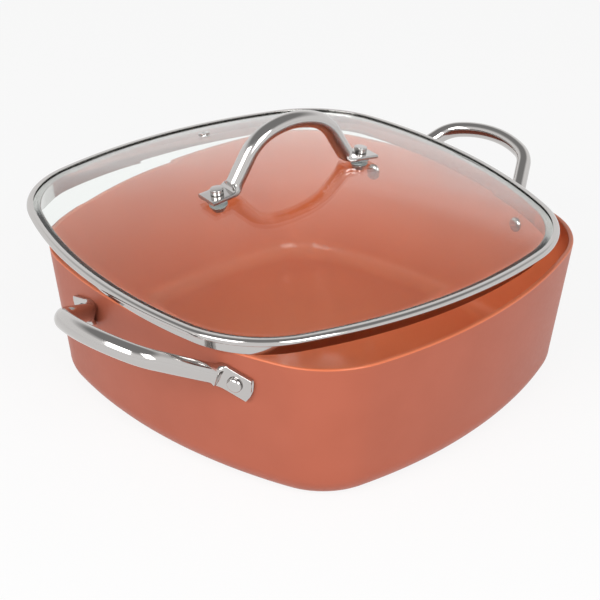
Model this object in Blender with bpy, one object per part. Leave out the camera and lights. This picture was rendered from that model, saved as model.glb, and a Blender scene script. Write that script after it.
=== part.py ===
"""Square casserole pot with a domed glass lid that lies askew on its rim.

Lengths are in metres and +Z is up. The origin is the centre of the pot's flat underside, and the side
handles stand on the -X and +X walls. The lid has a frame of its own, centred in its rolled bead, and an
empty carries that frame to where the lid lies.
"""
import math

import bmesh
import bpy
from mathutils import Matrix, Vector

MM = 0.001

# Clearance that every piece keeps to the piece it touches
GAP = 0.3 * MM

# Fineness of the solids, in straight steps
SIDE_STEPS = 6
CORNER_STEPS = 8
ROUND_STEPS = 4
BAR_SIDES = 12
FASTENER_SIDES = 12
BORE_SIDES = 16
RIM_STEPS = 2
ROLL_STEPS = 6
INNER_ROLL_STEPS = 4
BEND_STEP = math.radians(10)
RUN_STEP = 7 * MM
SHARP_ANGLE = math.radians(35)

# Pot body: widths are across the flat sides, over the outside
POT_HEIGHT = 91 * MM
RIM_WIDTH = 280 * MM
RIM_SIDE_RADIUS = 302 * MM
RIM_CORNER_RADIUS = 58 * MM
BASE_WIDTH = 260.8 * MM
BASE_SIDE_RADIUS = 304 * MM
BASE_CORNER_RADIUS = 47 * MM
BASE_ROUND = 15.8 * MM
WALL = 3 * MM
FLOOR = 3.6 * MM
RIM_ROUND = 1 * MM

# Base plate, let into the underside
PLATE_RADIUS = 96 * MM
PLATE_THICKNESS = 1 * MM
PLATE_EDGE = 0.3 * MM

# Rivets of the side handles
RIVET_SPREAD = 119.6 * MM
RIVET_HEIGHT = 71.4 * MM
RIVET_SHANK_RADIUS = 2.4 * MM
RIVET_HEAD_RADIUS = 4.6 * MM
RIVET_HEAD_HEIGHT = 2.6 * MM
RIVET_INNER_HEAD_HEIGHT = 2.2 * MM

# Side handles: a round tube in a tilted plane, pressed flat at both ends
TUBE_WIDTH = 11.1 * MM
TUBE_DEPTH = 9.3 * MM
TAB_WIDTH = 16 * MM
TAB_THICKNESS = 2.4 * MM
TAB_SLOPE = math.radians(17)
TAB_PAST_RIVET = 8.5 * MM
TAB_END_BOW = 1.8 * MM
TAB_FLAT_LENGTH = 17.2 * MM
KNEE_FROM_RIVET = 8.5 * MM
KNEE_RADIUS = 7 * MM
FLATTENING = 6 * MM
LOOP_TILT = math.radians(28)
LOOP_SKEW = 1.5 * MM
SHOULDER_SPREAD = 64.3 * MM
SHOULDER_REACH = 46.8 * MM
SHOULDER_RADIUS = 20.3 * MM
CROWN_REACH = 61.4 * MM

# How far along Y each side handle is riveted from the middle of its wall
HANDLE_SHIFTS = {"left": -2.5 * MM, "right": -1 * MM}

# Lid: where it lies on the pot
LID_SHIFT_X = -3.4 * MM
LID_SHIFT_Y = 15.4 * MM
LID_TURN = math.radians(-12.06)

# Lid rim: the bead's width is between the centres of its roll
BEAD_WIDTH = 284.4 * MM
LID_SIDE_RADIUS = 306 * MM
LID_CORNER_RADIUS = 67 * MM
BEAD_RADIUS = 2.1 * MM
BEAD_LIP = 2 * MM
STEEL_THICKNESS = 0.5 * MM
COLLAR_INSET = 7.1 * MM
COLLAR_DROP = 11.5 * MM

# Glass: its edge is ground thinner to enter the bead
GLASS_THICKNESS = 3.8 * MM
GLASS_EDGE_INTO_BEAD = 0.3 * MM
DOME_RISE = 23.4 * MM
DOME_POWER = 2
DOME_START = 2.6 * MM
DOME_CONTOURS = (0.2, 0.88, 0.96)

# Strip that bonds the glass edge into the bead
SEAL_DEPTH = 0.45 * MM
SEAL_HEIGHT = 1.6 * MM
SEAL_BACK_HEIGHT = 1.3 * MM

# Screws, gaskets, washers and nuts of the lid handle
SCREW_SPREAD = 104.4 * MM
SCREW_SHANK_RADIUS = 2 * MM
SCREW_HEAD_RADIUS = 4 * MM
SCREW_HEAD_HEIGHT = 3.4 * MM
SCREW_HEAD_CHAMFER = 0.4 * MM
SCREW_PAST_NUT = 0.5 * MM
UPPER_GASKET_RADIUS = 6 * MM
UPPER_GASKET_THICKNESS = 1.6 * MM
LOWER_GASKET_RADIUS = 5.5 * MM
LOWER_GASKET_THICKNESS = 1 * MM
WASHER_RADIUS = 5 * MM
WASHER_THICKNESS = 0.8 * MM
NUT_ACROSS_FLATS = 7 * MM
NUT_THICKNESS = 2 * MM

# Lid handle: an oval bar in one upright plane, pressed flat at both feet
BAR_WIDTH = 10.8 * MM
BAR_DEPTH = 10.2 * MM
FOOT_WIDTH = 16 * MM
FOOT_THICKNESS = 2.4 * MM
FOOT_PAST_SCREW = 8 * MM
FOOT_FLAT_LENGTH = 15 * MM
FOOT_BEND_FROM_SCREW = 10.4 * MM
FOOT_BEND_RADIUS = 7 * MM
FOOT_FLATTENING = 6.5 * MM
ARCH_SHOULDER_SPREAD = 51.8 * MM
ARCH_SHOULDER_RISE = 27 * MM
ARCH_SHOULDER_RADIUS = 30 * MM
ARCH_CROWN_RISE = 36.2 * MM

# Vent: along runs towards the lid's +Y edge, across runs towards +X
VENT_ALONG = 108 * MM
VENT_ACROSS = 8.5 * MM
VENT_BORE_RADIUS = 1.3 * MM
VENT_TUBE_RADIUS = 2.1 * MM
VENT_FLANGE_RADIUS = 3.9 * MM
VENT_FLANGE_THICKNESS = 0.7 * MM

# Share of a dome's radius and height at each ring of a rivet's or screw's head, from its seat up
HEAD_RINGS = ((1.0, 0.0), (0.93, 0.42), (0.7, 0.78), (0.35, 0.96), (0.12, 1.0))

# Shape of a flat tab's section: 2 is an ellipse, and a high power is a rectangle
TAB_POWER = 9


def colour(hex_code):
    """Linear colour of an sRGB hex code."""
    parts = [int(hex_code[i:i + 2], 16) / 255 for i in (0, 2, 4)]
    linear = [p / 12.92 if p <= 0.04045 else ((p + 0.055) / 1.055) ** 2.4 for p in parts]
    return (*linear, 1)


def material(name, hex_code, metallic, roughness):
    made = bpy.data.materials.new(name)
    made.use_nodes = True
    shader = made.node_tree.nodes["Principled BSDF"]
    shader.inputs["Base Color"].default_value = colour(hex_code)
    shader.inputs["Metallic"].default_value = metallic
    shader.inputs["Roughness"].default_value = roughness
    return made


def outline(half_width, side_radius, corner_radius):
    """Rounded square: four shallow side arcs that four corner arcs join smoothly.

    The side arc's centre lies on the axis, bulge behind the middle. A corner arc's centre lies on the
    diagonal, at the distance from the side's centre where the two arcs touch.
    """
    bulge = side_radius - half_width
    reach = side_radius - corner_radius
    corner = (math.sqrt(2 * reach ** 2 - bulge ** 2) - bulge) / 2
    spread = math.atan2(corner, corner + bulge)
    side_arc = [spread * (2 * step / SIDE_STEPS - 1) for step in range(SIDE_STEPS)]
    sweep = math.pi / 2 - 2 * spread
    corner_arc = [spread + sweep * step / CORNER_STEPS for step in range(CORNER_STEPS)]
    quarter = [Vector((side_radius * math.cos(a) - bulge, side_radius * math.sin(a))) for a in side_arc]
    for a in corner_arc:
        quarter.append(Vector((corner, corner)) + corner_radius * Vector((math.cos(a), math.sin(a))))
    turns = [Matrix.Rotation(turn * math.pi / 2, 2) for turn in range(4)]
    return [turn @ point for turn in turns for point in quarter]


def at_height(points, z):
    return [Vector((p.x, p.y, z)) for p in points]


def circle(radius, z, sides):
    """Ring of points round the Z axis."""
    angles = [2 * math.pi * side / sides for side in range(sides)]
    return [Vector((radius * math.cos(a), radius * math.sin(a), z)) for a in angles]


def skin(mesh_maker, rings, closed=False):
    """Strips of faces between neighbouring rings, and from the last back to the first if closed. Gives
    the rings' own points back."""
    loops = [[mesh_maker.verts.new(point) for point in ring] for ring in rings]
    pairs = list(zip(loops, loops[1:]))
    if closed:
        pairs.append((loops[-1], loops[0]))
    for lower, upper in pairs:
        for i in range(len(lower)):
            mesh_maker.faces.new((lower[i - 1], lower[i], upper[i], upper[i - 1]))
    return loops


def loft(name, rings, finish, closed=False):
    """Body skinned over rings of points. A closed one is a hoop, and any other has flat ends."""
    mesh_maker = bmesh.new()
    loops = skin(mesh_maker, rings, closed)
    if not closed:
        mesh_maker.faces.new(loops[0])
        mesh_maker.faces.new(loops[-1])
    return solid(name, mesh_maker, finish)


def solid(name, mesh_maker, finish):
    """Object of the mesh, with its faces turned outwards and its round stretches smooth."""
    bmesh.ops.recalc_face_normals(mesh_maker, faces=mesh_maker.faces)
    mesh = bpy.data.meshes.new(name)
    mesh_maker.to_mesh(mesh)
    mesh_maker.free()
    mesh.shade_smooth()
    mesh.set_sharp_from_angle(angle=SHARP_ANGLE)
    mesh.materials.append(finish)
    made = bpy.data.objects.new(name, mesh)
    bpy.context.collection.objects.link(made)
    return made


def copy_of(original, name):
    """A second object with the first one's mesh."""
    made = bpy.data.objects.new(name, original.data)
    bpy.context.collection.objects.link(made)
    return made


def turned(name, profile, finish, sides=FASTENER_SIDES, closed=False):
    """Body turned round Z from a profile of radius and height."""
    return loft(name, [circle(radius, z, sides) for radius, z in profile], finish, closed)


def washer(name, outer, inner, low, high, finish):
    profile = [(inner, low), (outer, low), (outer, high), (inner, high)]
    return turned(name, profile, finish, closed=True)


def head(radius, height, seat, direction):
    """Profile of a domed head from its seat to its top, up or down the axis."""
    return [(radius * r, seat + direction * height * h) for r, h in HEAD_RINGS]


def flat_head(radius, height, seat, chamfer):
    """Profile of a flat-topped head, with a chamfer round its top."""
    top = seat + height
    return [(radius, seat), (radius, top - chamfer), (radius - chamfer, top)]


def bore_cutter(name, radius, low, high):
    """Hidden cylinder along Z that a Boolean takes out of the pieces it passes through."""
    made = turned(name, [(radius, low), (radius, high)], None, sides=BORE_SIDES)
    made.hide_render = True
    made.display_type = "WIRE"
    return made


def cut(piece, cutter):
    modifier = piece.modifiers.new(cutter.name, "BOOLEAN")
    modifier.operation = "DIFFERENCE"
    modifier.solver = "EXACT"
    modifier.object = cutter


def frame_at(origin, along, normal):
    """Frame with Z along the normal and X as near as can be to along."""
    z = normal.normalized()
    x = (along - along.dot(z) * z).normalized()
    turn = Matrix((x, z.cross(x), z)).transposed().to_4x4()
    return Matrix.Translation(origin) @ turn


def bend_angle(before, corner, after):
    """How far a path turns at a corner."""
    return (corner - before).angle(after - corner)


def filling_radius(before, corner, after, taken):
    """Bend radius whose arc starts where the neighbour's arc ends, taken being the neighbour's share of
    the run before the corner."""
    return ((corner - before).length - taken) / math.tan(bend_angle(before, corner, after) / 2)


def bend_share(before, corner, after, radius):
    """Length of the straight run that a bend uses up on each side of its corner."""
    return radius * math.tan(bend_angle(before, corner, after) / 2)


def rounded_path(corners, radii):
    """Points along straight runs, with each inner corner rounded by its own radius."""
    marks = [corners[0]]
    for before, corner, after, radius in zip(corners, corners[1:], corners[2:], radii):
        angle = bend_angle(before, corner, after)
        share = bend_share(before, corner, after, radius)
        start = corner + (before - corner).normalized() * share
        end = corner + (after - corner).normalized() * share
        centre = corner + ((start + end) / 2 - corner).normalized() * radius / math.cos(angle / 2)
        axis = (start - centre).cross(end - centre).normalized()
        steps = math.ceil(angle / BEND_STEP)
        for step in range(steps + 1):
            marks.append(centre + Matrix.Rotation(angle * step / steps, 3, axis) @ (start - centre))
    marks.append(corners[-1])
    path = [marks[0]]
    for mark in marks[1:]:
        run = mark - path[-1]
        pieces = math.ceil(run.length / RUN_STEP)
        if run.length > GAP:
            path += [path[-1] + run * piece / pieces for piece in range(1, pieces + 1)]
    return path


def distances(path):
    """Length along the path from its start to each point."""
    run = [0.0]
    for here, after in zip(path, path[1:]):
        run.append(run[-1] + (after - here).length)
    return run


def flatness(distance, tab_length, flattening):
    """1 on the pressed tab, easing to 0 where the bar has its full section."""
    share = min(max((distance - tab_length) / flattening, 0.0), 1.0)
    return 1 - share * share * (3 - 2 * share)


def pressed_bar(name, path, tab_length, flattening, tab_axis, bar_axis, tab_size, bar_size, bow, finish):
    """Bar along a path, pressed flat at both ends.

    tab_axis gives the width direction of the tab at the start, and its mirror image over Y is used at
    the far end. bar_axis gives the width direction of the bar between them. Sizes are width and
    thickness. Each end is bowed outwards by bow.
    """
    run = distances(path)
    total = run[-1]
    rings = []
    for index, centre in enumerate(path):
        flat = flatness(min(run[index], total - run[index]), tab_length, flattening)
        ahead = path[min(index + 1, len(path) - 1)]
        behind = path[max(index - 1, 0)]
        tangent = (ahead - behind).normalized()
        near_start = run[index] < total / 2
        own_axis = tab_axis[0] if near_start else tab_axis[1]
        wide = own_axis * flat + bar_axis * (1 - flat)
        wide = (wide - wide.dot(tangent) * tangent).normalized()
        thin = tangent.cross(wide)
        half_wide = (tab_size[0] * flat + bar_size[0] * (1 - flat)) / 2
        half_thin = (tab_size[1] * flat + bar_size[1] * (1 - flat)) / 2
        power = 2 / (TAB_POWER * flat + 2 * (1 - flat))
        end_sign = {0: -1, len(path) - 1: 1}.get(index, 0)
        ring = []
        for side in range(BAR_SIDES):
            angle = 2 * math.pi * side / BAR_SIDES
            across = math.copysign(abs(math.cos(angle)) ** power, math.cos(angle))
            through = math.copysign(abs(math.sin(angle)) ** power, math.sin(angle))
            point = centre + wide * half_wide * across + thin * half_thin * through
            point += tangent * end_sign * bow * (1 - across * across)
            ring.append(point)
        rings.append(ring)
    mesh_maker = bmesh.new()
    loops = skin(mesh_maker, rings)
    for ring in (loops[0], loops[-1]):
        for side in range(BAR_SIDES // 2):
            far = BAR_SIDES - side
            corners = [ring[side], ring[side + 1], ring[far - 1], ring[far % BAR_SIDES]]
            mesh_maker.faces.new(dict.fromkeys(corners))
    return solid(name, mesh_maker, finish)


def wall_share(z):
    """0 at the foot of the straight wall, and 1 at the rim."""
    return (z - BASE_ROUND) / (POT_HEIGHT - BASE_ROUND)


def wall_arc(z):
    """Half width and side radius of the pot's outside at a height."""
    share = wall_share(z)
    half_width = (BASE_WIDTH + (RIM_WIDTH - BASE_WIDTH) * share) / 2
    return half_width, BASE_SIDE_RADIUS + (RIM_SIDE_RADIUS - BASE_SIDE_RADIUS) * share


def side_place(side):
    """Carries what stands on the +X wall to a side, slid along the wall's arc by the handle's shift."""
    half_width, radius = wall_arc(RIVET_HEIGHT)
    half_turn = math.pi if side == "left" else 0
    slide = HANDLE_SHIFTS[side] / radius * math.cos(half_turn)
    arc_centre = Matrix.Translation((half_width - radius, 0, 0))
    slid = arc_centre @ Matrix.Rotation(slide, 4, "Z") @ arc_centre.inverted()
    return Matrix.Rotation(half_turn, 4, "Z") @ slid


def wall_frame(across, z):
    """Frame on the outside of the +X wall, Z outwards and X along the wall."""
    half_width, radius = wall_arc(z)
    turn = math.asin(across / radius)
    slope = (RIM_WIDTH - BASE_WIDTH) / 2 / (POT_HEIGHT - BASE_ROUND)
    origin = Vector((half_width - radius * (1 - math.cos(turn)), across, z))
    along = Vector((-math.sin(turn), math.cos(turn), 0))
    return frame_at(origin, along, Vector((math.cos(turn), math.sin(turn), -slope)))


def pot_ring(inset, z):
    """Outline of the pot's wall at a height, set in from its outside."""
    share = wall_share(max(z, BASE_ROUND))
    half_width, side_radius = wall_arc(max(z, BASE_ROUND))
    corner_radius = BASE_CORNER_RADIUS + (RIM_CORNER_RADIUS - BASE_CORNER_RADIUS) * share
    return at_height(outline(half_width - inset, side_radius - inset, corner_radius - inset), z)


def plate_ring(radius, z):
    """Circle with a point in the direction of each point of the pot's outline."""
    return at_height([point.to_2d().normalized() * radius for point in pot_ring(BASE_ROUND, 0)], z)


def pot_body(finish):
    """The coated pot: drafted walls, rounded bottom edge and a recess for the base plate."""
    recess = PLATE_RADIUS + GAP
    rings = [plate_ring(recess, PLATE_THICKNESS + GAP), plate_ring(recess, 0)]
    for step in range(ROUND_STEPS + 1):
        angle = math.pi / 2 * (1 - step / ROUND_STEPS)
        rings.append(pot_ring(BASE_ROUND * (1 - math.cos(angle)), BASE_ROUND * (1 - math.sin(angle))))
    rim_low = POT_HEIGHT - RIM_ROUND
    rim_arc = [math.pi / 2 * step / RIM_STEPS for step in range(RIM_STEPS + 1)]
    for angle in rim_arc:
        rings.append(pot_ring(RIM_ROUND * (1 - math.cos(angle)), rim_low + RIM_ROUND * math.sin(angle)))
    for angle in reversed(rim_arc):
        inset = WALL - RIM_ROUND * (1 - math.cos(angle))
        rings.append(pot_ring(inset, rim_low + RIM_ROUND * math.sin(angle)))
    inner_round = BASE_ROUND - WALL
    for step in range(ROUND_STEPS + 1):
        angle = math.pi / 2 * step / ROUND_STEPS
        inset = WALL + inner_round * (1 - math.cos(angle))
        rings.append(pot_ring(inset, FLOOR + inner_round * (1 - math.sin(angle))))
    return loft("pot_body", rings, finish)


def base_plate(finish):
    """Round steel disc, flush with the underside."""
    profile = [(PLATE_RADIUS - PLATE_EDGE, 0), (PLATE_RADIUS, PLATE_EDGE), (PLATE_RADIUS, PLATE_THICKNESS)]
    return loft("base_plate", [plate_ring(radius, z) for radius, z in profile], finish)


def side_handle_path():
    """Path of the +X handle's middle line and the width directions of its two tabs.

    Each tab lies on the wall and slopes down outwards. From the knees the tube runs in a plane that
    rises away from the wall by the loop's tilt, and its outer stretch is skewed a little along the wall.
    """
    frame = wall_frame(RIVET_SPREAD / 2, RIVET_HEIGHT)
    turn = frame.to_3x3()
    outward = turn @ Vector((math.cos(TAB_SLOPE), -math.sin(TAB_SLOPE), 0))
    upward = turn @ Vector((math.sin(TAB_SLOPE), math.cos(TAB_SLOPE), 0))
    middle = frame @ Vector((0, 0, GAP + TAB_THICKNESS / 2))
    end = middle + outward * TAB_PAST_RIVET
    knee = middle - outward * KNEE_FROM_RIVET
    rise = Vector((math.cos(LOOP_TILT), 0, math.sin(LOOP_TILT)))
    foot = Vector((knee.x, LOOP_SKEW, knee.z))
    crown = foot + rise * CROWN_REACH
    shoulder = foot + rise * SHOULDER_REACH + Vector((0, SHOULDER_SPREAD / 2, 0))
    other_shoulder = shoulder - Vector((0, SHOULDER_SPREAD, 0))
    other_end, other_knee = (Vector((p.x, -p.y, p.z)) for p in (end, knee))
    taken = max(
        bend_share(knee, shoulder, crown, SHOULDER_RADIUS),
        bend_share(other_knee, other_shoulder, crown, SHOULDER_RADIUS))
    crown_radius = filling_radius(shoulder, crown, other_shoulder, taken)
    radii = [KNEE_RADIUS, SHOULDER_RADIUS, crown_radius, SHOULDER_RADIUS, KNEE_RADIUS]
    corners = [end, knee, shoulder, crown, other_shoulder, other_knee, other_end]
    return rounded_path(corners, radii), (upward, Vector((upward.x, -upward.y, upward.z)))


def side_handles(finish):
    """The two bent tubes. The left one is the right one turned half round and slid along the wall."""
    path, tab_axes = side_handle_path()
    loop_normal = Vector((-math.sin(LOOP_TILT), 0, math.cos(LOOP_TILT)))
    right = pressed_bar(
        "side_handle_right", path, TAB_FLAT_LENGTH, FLATTENING,
        tab_axes, loop_normal, (TAB_WIDTH, TAB_THICKNESS), (TUBE_WIDTH, TUBE_DEPTH), TAB_END_BOW, finish)
    left = copy_of(right, "side_handle_left")
    right.matrix_world = side_place("right")
    left.matrix_world = side_place("left")
    return left, right


def handle_rivets(body, handles, finish):
    """Rivets with a head outside the tab and one inside the pot, and the bores they pass through."""
    inner_seat = -WALL - GAP
    outer_seat = 2 * GAP + TAB_THICKNESS
    inner_head = head(RIVET_HEAD_RADIUS, RIVET_INNER_HEAD_HEIGHT, inner_seat, -1)
    outer_head = head(RIVET_HEAD_RADIUS, RIVET_HEAD_HEIGHT, outer_seat, 1)
    shank = [(RIVET_SHANK_RADIUS, inner_seat), (RIVET_SHANK_RADIUS, outer_seat)]
    profile = inner_head[::-1] + shank + outer_head
    first = None
    for side, handle, towards in (("left", handles[0], -1), ("right", handles[1], 1)):
        for end, across in (("front", -1), ("back", 1)):
            frame = side_place(side) @ wall_frame(across * towards * RIVET_SPREAD / 2, RIVET_HEIGHT)
            name = "rivet_%s_%s" % (side, end)
            rivet = copy_of(first, name) if first else turned(name, profile, finish)
            first = first or rivet
            rivet.matrix_world = frame
            cutter = bore_cutter(
                "bore_" + name, RIVET_SHANK_RADIUS + GAP, inner_seat - WALL, outer_seat + TAB_THICKNESS)
            cutter.matrix_world = frame
            cut(body, cutter)
            cut(handle, cutter)


def lid_outline(inset):
    """Outline of the lid, set in from the middle of its bead."""
    return outline(BEAD_WIDTH / 2 - inset, LID_SIDE_RADIUS - inset, LID_CORNER_RADIUS - inset)


def dome_fraction(along, across):
    """Share of the way from the lid's centre to the dome's edge, at a point off the middle of a side.

    The dome's contours are its edge scaled down, so this is the scale whose side arc meets the point.
    """
    radius = LID_SIDE_RADIUS - DOME_START
    bulge = LID_SIDE_RADIUS - BEAD_WIDTH / 2
    room = radius ** 2 - bulge ** 2
    lean = along * bulge
    return (lean + math.sqrt(lean ** 2 + room * (along ** 2 + across ** 2))) / room


def dome_height(fraction):
    """Height of the glass's upper face over the middle of the bead."""
    return glass_edge() / 2 + DOME_RISE * (1 - fraction ** DOME_POWER)


def glass_edge():
    """Thickness of the ground edge, which fits the bead's inside."""
    return 2 * (BEAD_RADIUS - STEEL_THICKNESS - GAP)


def seat_fractions(along, across, radius):
    """Dome contours just inside and outside a round seat."""
    margin = radius + GAP
    return dome_fraction(along - margin, across), dome_fraction(along + margin, across)


def seat_frame(along, across, radius):
    """Frame on the glass's upper face, Z outwards and X away from the centre, for a seat off the +X
    side. The glass is straight between the two contours round the seat."""
    inner, outer = seat_fractions(along, across, radius)
    drop = (dome_height(inner) - dome_height(outer)) / (2 * (radius + GAP))
    share = (dome_fraction(along, across) - inner) / (outer - inner)
    z = dome_height(inner) * (1 - share) + dome_height(outer) * share
    turn = math.asin(across / (LID_SIDE_RADIUS * outer))
    away = Vector((math.cos(turn), math.sin(turn), -drop))
    normal = Vector((drop * math.cos(turn), drop * math.sin(turn), 1))
    return frame_at(Vector((along, across, z)), away, normal)


def lid_glass(finish):
    """Domed glass: two like faces over each other, joined by a thin edge inside the bead."""
    edge = glass_edge() / 2
    seats = seat_fractions(SCREW_SPREAD / 2, 0, UPPER_GASKET_RADIUS)
    seats += seat_fractions(VENT_ALONG, VENT_ACROSS, VENT_FLANGE_RADIUS)
    fractions = sorted(DOME_CONTOURS + seats)
    rim = lid_outline(DOME_START)
    upper = [at_height([p * f for p in rim], dome_height(f)) for f in fractions]
    lower = [at_height([p * f for p in rim], dome_height(f) - GLASS_THICKNESS) for f in fractions]
    lower = [at_height(ring, max(ring[0].z, -edge)) for ring in lower]
    edge_outline = lid_outline(-GLASS_EDGE_INTO_BEAD)
    rings = upper + [at_height(rim, edge), at_height(edge_outline, edge)]
    rings += [at_height(edge_outline, -edge), at_height(lid_outline(COLLAR_INSET), -edge)]
    return loft("lid_glass", rings + lower[::-1], finish)


def lid_rim(finish):
    """Steel band from one strip: lip and roll round the glass edge, flange and upright collar."""
    inner_radius = BEAD_RADIUS - STEEL_THICKNESS
    profile = [(BEAD_LIP, BEAD_RADIUS)]
    for step in range(ROLL_STEPS + 1):
        angle = math.pi / 2 + math.pi * step / ROLL_STEPS
        profile.append((BEAD_RADIUS * math.cos(angle), BEAD_RADIUS * math.sin(angle)))
    profile += [(COLLAR_INSET, -BEAD_RADIUS), (COLLAR_INSET, -COLLAR_DROP)]
    profile += [(COLLAR_INSET + STEEL_THICKNESS, -COLLAR_DROP)]
    profile += [(COLLAR_INSET + STEEL_THICKNESS, -inner_radius)]
    for step in range(INNER_ROLL_STEPS + 1):
        angle = math.pi / 2 + math.pi * (1 - step / INNER_ROLL_STEPS)
        profile.append((inner_radius * math.cos(angle), inner_radius * math.sin(angle)))
    profile.append((BEAD_LIP, inner_radius))
    rings = [at_height(lid_outline(inset), z) for inset, z in profile]
    return loft("lid_rim", rings, finish, closed=True)


def rim_seal(finish):
    """Bonding strip behind the glass edge, narrower towards the bottom of the roll."""
    front = -GLASS_EDGE_INTO_BEAD - GAP
    back = front - SEAL_DEPTH
    profile = [(front, SEAL_HEIGHT / 2), (back, SEAL_BACK_HEIGHT / 2)]
    profile += [(back, -SEAL_BACK_HEIGHT / 2), (front, -SEAL_HEIGHT / 2)]
    rings = [at_height(lid_outline(inset), z) for inset, z in profile]
    return loft("rim_seal", rings, finish, closed=True)


def lid_handle(finish):
    """Arched bar whose flat feet follow the slope of the glass."""
    seat = seat_frame(SCREW_SPREAD / 2, 0, UPPER_GASKET_RADIUS)
    middle = 2 * GAP + UPPER_GASKET_THICKNESS + FOOT_THICKNESS / 2
    end = seat @ Vector((FOOT_PAST_SCREW, 0, middle))
    bend = seat @ Vector((-FOOT_BEND_FROM_SCREW, 0, middle))
    shoulder = Vector((ARCH_SHOULDER_SPREAD / 2, 0, bend.z + ARCH_SHOULDER_RISE))
    crown = Vector((0, 0, bend.z + ARCH_CROWN_RISE))
    half = [end, bend, shoulder]
    mirrored = [Vector((-p.x, p.y, p.z)) for p in reversed(half)]
    taken = bend_share(bend, shoulder, crown, ARCH_SHOULDER_RADIUS)
    crown_radius = filling_radius(shoulder, crown, mirrored[0], taken)
    radii = [FOOT_BEND_RADIUS, ARCH_SHOULDER_RADIUS, crown_radius, ARCH_SHOULDER_RADIUS, FOOT_BEND_RADIUS]
    path = rounded_path(half + [crown] + mirrored, radii)
    sideways = Vector((0, 1, 0))
    return pressed_bar(
        "lid_handle", path, FOOT_FLAT_LENGTH, FOOT_FLATTENING,
        (sideways, sideways), sideways, (FOOT_WIDTH, FOOT_THICKNESS), (BAR_WIDTH, BAR_DEPTH), 0, finish)


def hexagon(across_flats, z):
    """Hexagon ring with a point at each corner and at each flat's middle."""
    flats = circle(across_flats / 2, z, FASTENER_SIDES)
    corners = circle(across_flats / 2 / math.cos(math.pi / 6), z, FASTENER_SIDES)
    return [corners[i] if i % 2 else flats[i] for i in range(FASTENER_SIDES)]


def screw_stacks(glass, handle, finishes):
    """Screw, gaskets, washer and nut at each foot of the lid handle, and the bores for the screws."""
    seat = seat_frame(SCREW_SPREAD / 2, 0, UPPER_GASKET_RADIUS)
    bore = SCREW_SHANK_RADIUS + GAP
    glass_depth = GLASS_THICKNESS * seat.to_3x3().col[2].z
    head_seat = 3 * GAP + UPPER_GASKET_THICKNESS + FOOT_THICKNESS
    lower_gasket_top = -glass_depth - GAP
    washer_top = lower_gasket_top - LOWER_GASKET_THICKNESS - GAP
    nut_top = washer_top - WASHER_THICKNESS - GAP
    nut_low = nut_top - NUT_THICKNESS
    screw_low = nut_low - SCREW_PAST_NUT
    parts = []
    for side, half_turn in (("left", math.pi), ("right", 0)):
        frame = Matrix.Rotation(half_turn, 4, "Z") @ seat
        shank = [(SCREW_SHANK_RADIUS, screw_low), (SCREW_SHANK_RADIUS, head_seat)]
        cap = flat_head(SCREW_HEAD_RADIUS, SCREW_HEAD_HEIGHT, head_seat, SCREW_HEAD_CHAMFER)
        stack = [turned("lid_screw_" + side, shank + cap, finishes["steel"])]
        stack.append(washer(
            "upper_gasket_" + side, UPPER_GASKET_RADIUS, bore, GAP, GAP + UPPER_GASKET_THICKNESS,
            finishes["gasket"]))
        stack.append(washer(
            "lower_gasket_" + side, LOWER_GASKET_RADIUS, bore, lower_gasket_top - LOWER_GASKET_THICKNESS,
            lower_gasket_top, finishes["gasket"]))
        stack.append(washer(
            "steel_washer_" + side, WASHER_RADIUS, bore, washer_top - WASHER_THICKNESS, washer_top,
            finishes["steel"]))
        bore_low = circle(bore, nut_low, FASTENER_SIDES)
        bore_high = circle(bore, nut_top, FASTENER_SIDES)
        flats = [hexagon(NUT_ACROSS_FLATS, nut_low), hexagon(NUT_ACROSS_FLATS, nut_top)]
        nut_rings = [bore_low] + flats + [bore_high]
        stack.append(loft("lid_nut_" + side, nut_rings, finishes["steel"], closed=True))
        cutter = bore_cutter(
            "bore_lid_" + side, bore, lower_gasket_top - LOWER_GASKET_THICKNESS, head_seat + FOOT_THICKNESS)
        for piece in stack + [cutter]:
            piece.matrix_world = frame
        cut(glass, cutter)
        cut(handle, cutter)
        parts += stack + [cutter]
    return parts


def vent_eyelet(glass, finish):
    """Steel eyelet in the steam hole, with a flange on each face of the glass."""
    seat = seat_frame(VENT_ALONG, -VENT_ACROSS, VENT_FLANGE_RADIUS)
    frame = Matrix.Rotation(math.pi / 2, 4, "Z") @ seat
    under = -GLASS_THICKNESS * seat.to_3x3().col[2].z - GAP
    profile = [
        (VENT_BORE_RADIUS, under - VENT_FLANGE_THICKNESS), (VENT_FLANGE_RADIUS, under - VENT_FLANGE_THICKNESS),
        (VENT_FLANGE_RADIUS, under), (VENT_TUBE_RADIUS, under),
        (VENT_TUBE_RADIUS, GAP), (VENT_FLANGE_RADIUS, GAP),
        (VENT_FLANGE_RADIUS, GAP + VENT_FLANGE_THICKNESS), (VENT_BORE_RADIUS, GAP + VENT_FLANGE_THICKNESS),
    ]
    eyelet = turned("vent_eyelet", profile, finish, closed=True)
    cutter = bore_cutter("bore_vent", VENT_TUBE_RADIUS + GAP, under - VENT_TUBE_RADIUS, VENT_TUBE_RADIUS)
    eyelet.matrix_world = frame
    cutter.matrix_world = frame
    cut(glass, cutter)
    return [eyelet, cutter]


def lid_frame():
    """Where the lid lies: its collar stands on the pot's rim."""
    lift = POT_HEIGHT + GAP + COLLAR_DROP
    return Matrix.Translation((LID_SHIFT_X, LID_SHIFT_Y, lift)) @ Matrix.Rotation(LID_TURN, 4, "Z")


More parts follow.
